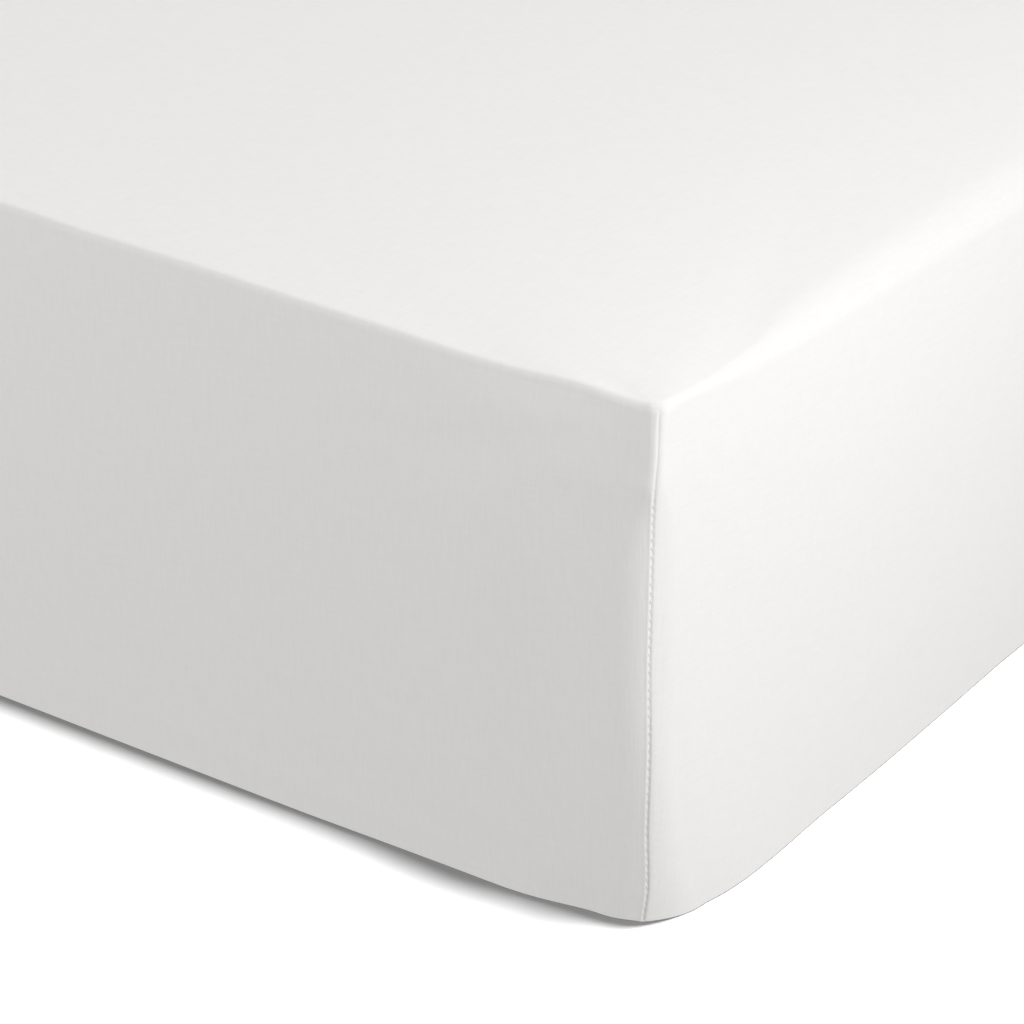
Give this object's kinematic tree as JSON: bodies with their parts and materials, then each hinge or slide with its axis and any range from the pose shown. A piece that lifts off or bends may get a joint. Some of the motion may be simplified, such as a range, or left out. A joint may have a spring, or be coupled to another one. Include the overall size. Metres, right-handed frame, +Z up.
{
  "type": "fitted sheet on a mattress",
  "caption": "Plain white fitted sheet drawn tight over a box-shaped mattress, with boxed corners, a stitched seam down each corner and its hem tucked flat underneath.",
  "frame": {"origin": "on the floor, under the middle of the mattress", "axes": "+Z up, X along the mattress's width, Y along its length"},
  "size_m": [0.9091, 2.0073, 0.2253],
  "materials": {
    "white_cotton": "fine plain-woven cotton with a faint satin sheen",
    "ticking": "plain matt mattress cover"
  },
  "bodies": {
    "root": {"fitted_sheet": "white_cotton", "mattress": "ticking"}
  },
  "joints": []
}
